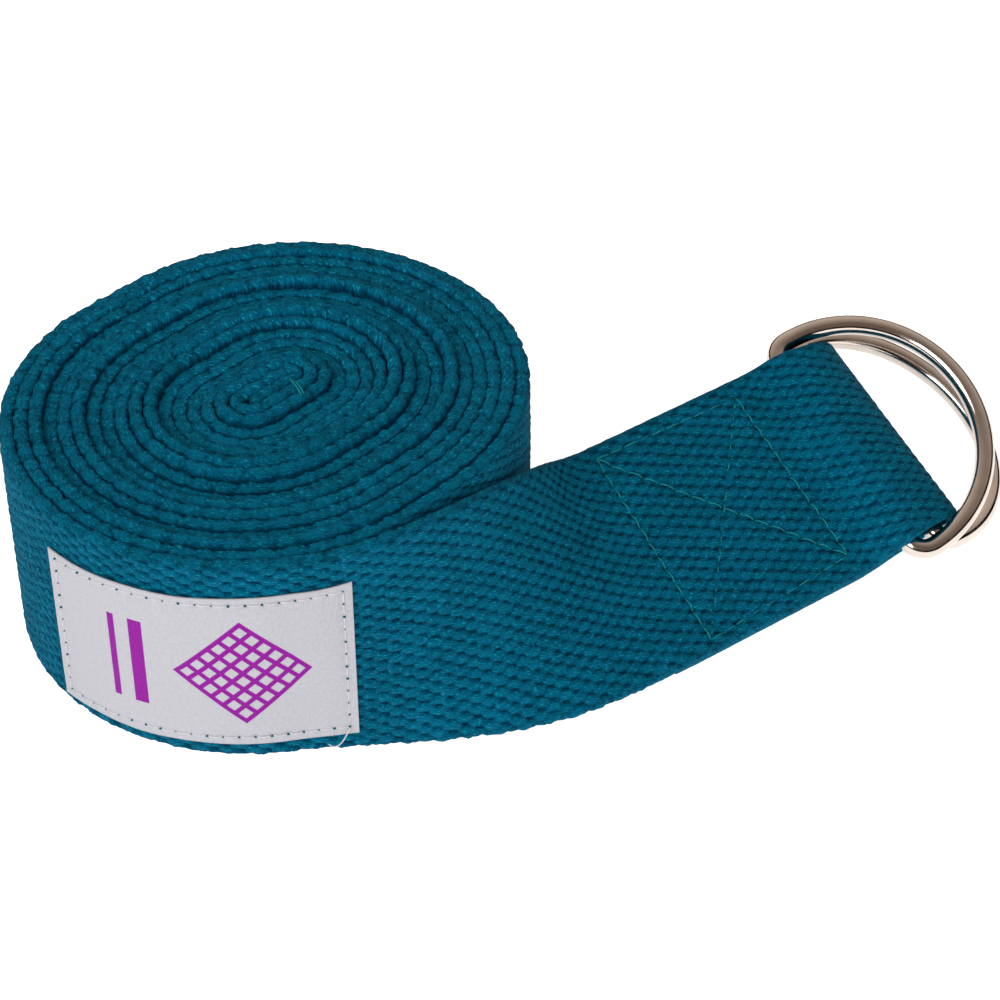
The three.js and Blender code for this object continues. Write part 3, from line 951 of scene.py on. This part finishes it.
def make_webbing():
    """The strap: four stretches that meet at cuts, of which inner turns only show edges, and the
    sewn end. A stretch has a name, a start and an end, a step, a section, and the weave's strength
    on its outer and its inner face."""
    material = webbing_material()
    edges_only = section(2, 2, 10, SNUG_HALF, SNUG_HALF)
    outer_face = section(142, 2, 9, HALF_STRAP, SNUG_HALF)
    both_faces = section(142, 110, 8)
    stretches = [
        ("webbing_inner_turns", TAIL_END, MIDDLE_TURNS_START, 0.36, edges_only, 0, 0),
        ("webbing_middle_turns", MIDDLE_TURNS_START, OUTER_TURN_START, 0.36, edges_only, 0, 0),
        ("webbing_outer_turn", OUTER_TURN_START, LEAD_START, 0.42, outer_face, 1, 0),
        ("webbing_free_end", LEAD_START, LAP_END, 0.32, both_faces, 1, 1),
    ]
    for name, start, end, step, columns, outer, inner in stretches:
        piece = webbing_piece(name, start, end, step, columns, material, outer, inner)
    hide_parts("webbing_coil")
    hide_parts("webbing_lead")
    loop_piece(material)


# ---------------- rings

def ring_outline():
    """Centre line of a D-ring, with its bar along x and its bow towards +y."""
    bar_half = RING_HALF_WIDTH - RING_CORNER_RADIUS
    corner_steps = math.ceil(RING_CORNER_RADIUS * math.pi / 2 / RING_STEP)
    bar_steps = math.ceil(2 * bar_half / RING_STEP)
    bow_steps = math.ceil(math.pi * RING_HALF_WIDTH / RING_STEP)
    bar = np.linspace(-bar_half, bar_half, bar_steps, endpoint=False)
    corner = np.linspace(-math.pi / 2, 0, corner_steps, endpoint=False)
    bow = np.linspace(0, math.pi, bow_steps, endpoint=False)
    bow_line = np.stack(
        [RING_HALF_WIDTH * np.cos(bow), RING_CORNER_RADIUS + RING_BOW_DEPTH * np.sin(bow)], axis=1
    )
    other = corner + 1.5 * math.pi

    def round_corner(middle, angles):
        x = middle + RING_CORNER_RADIUS * np.cos(angles)
        return np.stack([x, RING_CORNER_RADIUS * (1 + np.sin(angles))], axis=1)

    return np.concatenate(
        [
            np.stack([bar, 0 * bar], axis=1),
            round_corner(bar_half, corner),
            bow_line,
            round_corner(-bar_half, other),
        ]
    )


def ring_axes(ring):
    """Unit vectors along a ring's bar and towards its bow."""
    along, across, out = strap_axes(ring["along"])
    bar = across + along * ring["tilt_along"] + out * ring["tilt_out"]
    bar /= np.linalg.norm(bar)
    bow = along * math.cos(ring["swing"]) + out * math.sin(ring["swing"])
    bow -= bar * (bow @ bar)
    return bar, bow / np.linalg.norm(bow)


def make_ring(name, ring, material, body, node):
    """A ring of round wire, slightly thicker at the weld in the middle of its bar."""
    outline = ring_outline()
    bar, bow = ring_axes(ring)
    middle = on_strap(ring["along"], ring["across"], ring["out"])
    centres = middle + outline[:, :1] * bar + outline[:, 1:] * bow
    on_bar = outline[:, 1] < RING_CORNER_RADIUS / 2
    weld = np.exp(-(outline[:, 0] / WELD_LENGTH) ** 2) * on_bar
    points, faces = tube(centres, WIRE_RADIUS * (1 + WELD_SWELL * weld), RING_SIDES, closed=True)
    piece = new_object(name, points, faces, material)
    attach(piece, body)
    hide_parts(node)


def make_rings():
    material = nickel_material()
    make_ring("ring_wire_upper", UPPER_RING, material, "upper_ring", "d_ring_upper")
    make_ring("ring_wire_lower", LOWER_RING, material, "lower_ring", "d_ring_lower")


# ---------------- label

def on_label(along, across, out):
    """Place on the label, which is sewn on a little askew: its right end sits higher."""
    share = (along - LABEL_FROM) / (LABEL_TO - LABEL_FROM)
    return on_strap(along, across + LABEL_RISE * share, out)


ROW_FROM, ROW_TO = LABEL_FROM + LABEL_INSET, LABEL_TO - LABEL_INSET
ROW_LOW, ROW_HIGH = LABEL_LOW + LABEL_INSET, LABEL_HIGH - LABEL_INSET
ROW_CORNERS = [(ROW_FROM, ROW_LOW), (ROW_TO, ROW_LOW), (ROW_TO, ROW_HIGH), (ROW_FROM, ROW_HIGH)]
LABEL_HOLES = seam_holes(ROW_CORNERS, LABEL_STITCH)


def waves(places, height, length, first):
    """Soft waves of one height and length."""
    return height * wander(places, length, first)


def make_label():
    """The label, slightly pressed in at each stitch hole and with soft waves along its edges."""
    along = stations(LABEL_FROM, LABEL_TO, LABEL_STEP)[:, None]
    count = math.ceil((LABEL_HIGH - LABEL_LOW) / LABEL_STEP)
    up = np.linspace(LABEL_LOW, LABEL_HIGH, count)
    across = np.concatenate([up, up[::-1]])[None, :]
    layer = np.concatenate([np.zeros(count), np.ones(count)])[None, :] * LABEL_THICKNESS
    press = seam_press(along, across, LABEL_HOLES, *LABEL_HOLE)
    swell = waves(along, *WAVE_ALONG) + waves(across, *WAVE_ACROSS)
    outward = np.sign(across - (LABEL_LOW + LABEL_HIGH) / 2)
    edge_swell = waves(along, *WAVE_OF_EDGE) * outward
    points = on_label(along, across + edge_swell, LABEL_INNER + layer + swell - press)
    info = np.stack(np.broadcast_arrays(along - LABEL_FROM, across - LABEL_LOW, layer), axis=-1)
    piece = loft("label_tape", points, info, label_material())
    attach(piece, "strap")
    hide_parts("label")


def thread_piece(name, parts, material, node):
    """Threads joined into one piece, in place of one CAD node."""
    points, faces = join_parts(parts)
    piece = new_object(name, points, faces, material)
    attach(piece, "strap")
    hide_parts(node)
    return piece


STITCH_ENDS = (0.06, 0.94)
STITCH_SAMPLES = 9
STITCH_FULLNESS = 0.85


def stitch(place, start, end, level, radius, dip, lift):
    """One stitch from hole to hole, which comes up out of one and goes down into the next."""
    shares = np.linspace(*STITCH_ENDS, STITCH_SAMPLES)
    start, end = np.array(start), np.array(end)
    middle = start + (end - start) * shares[:, None]
    rise = np.sin(math.pi * shares) ** STITCH_FULLNESS
    centres = place(middle[:, 0], middle[:, 1], level - dip * (1 - rise) + lift * rise)
    return tube(centres, radius, THREAD_SIDES)


BEAD_ROWS, BEAD_SIDES = 5, 8
BEAD_SQUASH = 0.7


def bead(centre, radius):
    """A small rounded bit of thread that fills a needle hole."""
    points = []
    for row in range(BEAD_ROWS):
        polar = math.pi * (row + 0.5) / BEAD_ROWS
        height = BEAD_SQUASH * math.cos(polar)
        for side in range(BEAD_SIDES):
            angle = FULL_TURN * side / BEAD_SIDES
            reach = math.sin(polar)
            points.append([reach * math.cos(angle), reach * math.sin(angle), height])
    faces = [face[::-1] for face in closed_grid(BEAD_ROWS, BEAD_SIDES)]
    return centre + radius * np.array(points), faces


THREAD_SUNK, BEAD_SUNK = 0.05, 0.07
TAIL_SAMPLES = 14
TAIL_BACK, TAIL_DOWN = 3.4, 3.0
TAIL_BEND = 1.9
TAIL_ABOVE, TAIL_ARCH = 0.3, 0.7
TAIL_RADIUS = 0.1


def label_thread_tail(level):
    """The loose end of the label's thread, which hangs off its lower corner."""
    shares = np.linspace(0, 1, TAIL_SAMPLES)
    line = on_label(
        ROW_TO - TAIL_BACK * shares,
        ROW_LOW - TAIL_DOWN * np.sin(TAIL_BEND * shares),
        level + TAIL_ABOVE + TAIL_ARCH * np.sin(math.pi * shares),
    )
    return tube(line, TAIL_RADIUS, THREAD_SIDES)


def make_label_stitches():
    """The label's row of pale stitches, with the strap's own teal, painted darker as shade, showing
    in the needle holes.
    """
    surface = LABEL_INNER + LABEL_THICKNESS
    level = surface - THREAD_SUNK
    loop = [*LABEL_HOLES, LABEL_HOLES[0]]
    pale = [
        stitch(on_label, start, end, level, LABEL_THREAD_RADIUS, dip=0.3, lift=0.06)
        for start, end in zip(loop, loop[1:])
    ]
    pale.append(label_thread_tail(level))
    sizes = HOLE_BEAD + HOLE_BEAD_SPREAD * rng.uniform(-1, 1, len(LABEL_HOLES))
    # Painted shade: the beads in the needle holes are the strap's teal painted darker, as the shade
    # in the holes
    dark = [
        bead(on_label(hole[0], hole[1], surface - BEAD_SUNK), size)
        for hole, size in zip(LABEL_HOLES, sizes)
    ]
    pale_thread = thread_material("thread_pale", THREAD_WHITE, THREAD_WHITE_PALE)
    hole_shade_thread = thread_material("thread_teal_hole_shade", HOLE_SHADE_TEAL, HOLE_SHADE_TEAL_PALE)
    piece = thread_piece("label_stitches", pale + dark, pale_thread, "label_seam_thread")
    piece.data.materials.append(hole_shade_thread)
    pale_faces, dark_faces = (sum(len(faces) for _, faces in parts) for parts in (pale, dark))
    slots = [0] * pale_faces + [1] * dark_faces
    piece.data.polygons.foreach_set("material_index", slots)


# ---------------- box-X seam and hem threads

def make_box_seam(name, node, level, side, material):
    """One face of the box-X seam: the needle thread on top, or the bobbin thread under the lap."""

    def place(along, across, out):
        return on_strap(along, across, level + side * out)

    parts = []
    for run, height in BOX_RUNS:
        for start, end in zip(run, run[1:]):
            above = height + BOX_UNEVEN * rng.uniform(-1, 1)
            parts.append(stitch(place, start, end, above, THREAD_RADIUS, dip=0.5, lift=0.14))
    thread_piece(name, parts, material, node)


HEM_TAILS = [((2.9, 1.5), (5.0, -2.6)), ((3.6, 1.0), (5.4, -2.3))]
HEM_SAMPLES = 12
HEM_THREAD_RADIUS = 0.13
HEM_ABOVE = 0.95
HEM_ARCH = 0.4


def make_hem_threads(material):
    """The two cut ends of the tail hem's thread, lying over the core."""
    shares = np.linspace(0, 1, HEM_SAMPLES)[:, None]
    parts = []
    for start, end in HEM_TAILS:
        line = np.array(start) + (np.array(end) - start) * shares
        height = STRAP_WIDTH + HEM_ABOVE + HEM_ARCH * np.sin(math.pi * shares)
        parts.append(tube(np.hstack([line, height]), HEM_THREAD_RADIUS, THREAD_SIDES))
    thread_piece("hem_thread_ends", parts, material, "hem_thread_tails")


def make_threads():
    material = thread_material("thread_teal", THREAD_TEAL, THREAD_TEAL_PALE)
    make_box_seam("box_x_needle_stitches", "box_x_needle_thread", HALF_STRAP, 1, material)
    make_box_seam("box_x_bobbin_stitches", "box_x_bobbin_thread", LAP_OUT - HALF_STRAP, -1, material)
    make_hem_threads(material)


# ---------------- stage, light and camera

FLOOR_HALF = 4000
FLOOR_GREYS = [(0.3, (0.86, 0.86, 0.86)), (0.7, (0.88, 0.88, 0.88))]


def make_floor():
    """A plain pale floor, with a little light of its own so that it stays white."""
    nodes = Nodes("floor")
    grain = nodes.noise(nodes.add("ShaderNodeTexCoord").outputs["Object"], 40)
    nodes.finish_with(
        Base_Color=nodes.ramp(grain, FLOOR_GREYS),
        Roughness=0.9,
        Specular_IOR_Level=0.0,
        Emission_Color=(1, 1, 1, 1),
        Emission_Strength=0.8,
    )
    corners = [(x * FLOOR_HALF, y * FLOOR_HALF, 0) for x, y in [(-1, -1), (1, -1), (1, 1), (-1, 1)]]
    floor = new_object("floor", corners, [(0, 1, 2, 3)], nodes.material, smooth_faces=False)


def area_light(name, target, azimuth, elevation, distance, size, power):
    """A soft box that looks at a point. Azimuth 0 is in front, towards -y, and 90 on the right."""
    light = bpy.data.lights.new(name, "AREA")
    light.shape = "RECTANGLE"
    light.size, light.size_y = size
    light.energy = power
    holder = bpy.data.objects.new(name, light)
    bpy.context.scene.collection.objects.link(holder)
    turn, rise = math.radians(azimuth), math.radians(elevation)
    level = math.cos(rise)
    away = Vector((math.sin(turn) * level, -math.cos(turn) * level, math.sin(rise)))
    holder.location = target + away * distance
    holder.rotation_mode = "QUATERNION"
    holder.rotation_quaternion = away.to_track_quat("Z", "Y")
    return holder


WORLD_COLOUR = (0.47, 0.37, 0.31, 1)
WORLD_STRENGTH = 0.84

# Name, azimuth, elevation, distance and size in metres, power, and whether the rings reflect it
LIGHTS = [
    ("key", -40, 32, 0.9, (0.7, 0.45), 5.1, True),
    ("fill", 28, 36, 1.1, (0.6, 0.5), 3.7, False),
    ("top", 10, 84, 1.1, (0.6, 0.5), 1.1, False),
]


def make_lights():
    """A key light from the front left, which also shows in the rings, and two weaker ones."""
    world = bpy.data.worlds.new("studio")
    world.use_nodes = True
    background = world.node_tree.nodes["Background"]
    background.inputs["Color"].default_value = WORLD_COLOUR
    background.inputs["Strength"].default_value = WORLD_STRENGTH
    bpy.context.scene.world = world
    target = (cad_low + cad_high) / 2
    for name, azimuth, elevation, distance, size, power, reflected in LIGHTS:
        light = area_light(name, target, azimuth, elevation, distance, size, power)
        light.visible_glossy = reflected


ROOM_RADIUS = 1200
ROOM_SIDES = 48
ROOM_ROWS = 16
ROOM_WALL = (0.008, 0.006, 0.005, 1)
ROOM_FRONT = (0.20, 0.145, 0.115, 1)
ROOM_BACK = (0.80, 0.68, 0.59, 1)
ROOM_FADE = (-0.5, 0.9)
ROOM_WALL_TOP = (0.31, 0.37)


def room_material():
    """Dark walls, and above them a ceiling that is darker in front and paler at the back."""
    nodes = Nodes("room")
    place = nodes.add("ShaderNodeTexCoord").outputs["Object"]
    parts = nodes.add("ShaderNodeSeparateXYZ", {"Vector": place})
    fade_from, fade_to = (share * ROOM_RADIUS * MM for share in ROOM_FADE)
    wall_from, wall_to = (share * ROOM_RADIUS * MM for share in ROOM_WALL_TOP)
    backward = nodes.spread(parts.outputs["Y"], fade_from, fade_to, 0.0, 1.0)
    above_wall = nodes.spread(parts.outputs["Z"], wall_from, wall_to, 0.0, 1.0)
    ceiling = nodes.mix(backward, ROOM_FRONT, ROOM_BACK)
    nodes.finish_with(
        Base_Color=(0, 0, 0, 1),
        Specular_IOR_Level=0.0,
        Emission_Color=nodes.mix(above_wall, ROOM_WALL, ceiling),
        Emission_Strength=1.0,
    )
    return nodes.material


def make_room():
    """A dome round the stage that only reflections see, as the unlit room round a photographer."""
    angles = FULL_TURN * np.arange(ROOM_SIDES) / ROOM_SIDES
    rises = np.linspace(0, math.pi / 2, ROOM_ROWS, endpoint=False)[:, None]
    level = np.cos(rises)
    dome = [level * np.cos(angles), level * np.sin(angles), np.sin(rises) + 0 * angles]
    faces = quads(ROOM_ROWS, ROOM_SIDES)
    faces.append(list(range((ROOM_ROWS - 1) * ROOM_SIDES, ROOM_ROWS * ROOM_SIDES)))
    points = ROOM_RADIUS * np.stack(dome, axis=-1).reshape(-1, 3)
    room = new_object("room", points, faces, room_material())
    room.visible_camera = False
    room.visible_diffuse = False
    room.visible_shadow = False


def make_camera():
    """A long lens in front of the strap, which looks down on it."""
    camera = bpy.data.objects.new("camera", bpy.data.cameras.new("camera"))
    camera.data.lens = CAMERA_LENS
    camera.data.sensor_width = CAMERA_SENSOR
    camera.data.clip_start, camera.data.clip_end = CAMERA_CLIP
    level = np.array([1, 0, 0])
    upward = np.array([0, math.sin(CAMERA_ELEVATION), math.cos(CAMERA_ELEVATION)])
    forward = np.array([0, math.cos(CAMERA_ELEVATION), -math.sin(CAMERA_ELEVATION)])
    right = math.cos(CAMERA_ROLL) * level + math.sin(CAMERA_ROLL) * upward
    up = math.cos(CAMERA_ROLL) * upward - math.sin(CAMERA_ROLL) * level
    matrix = Matrix(list(zip(right, up, -forward))).to_4x4()
    matrix.translation = Vector(CAMERA_PLACE * MM)
    camera.matrix_world = matrix
    bpy.context.scene.collection.objects.link(camera)
    bpy.context.scene.camera = camera
    bpy.context.scene.view_settings.view_transform = "Standard"


make_camera()
make_floor()
make_room()
make_lights()
make_webbing()
make_rings()
make_label()
make_label_stitches()
make_threads()
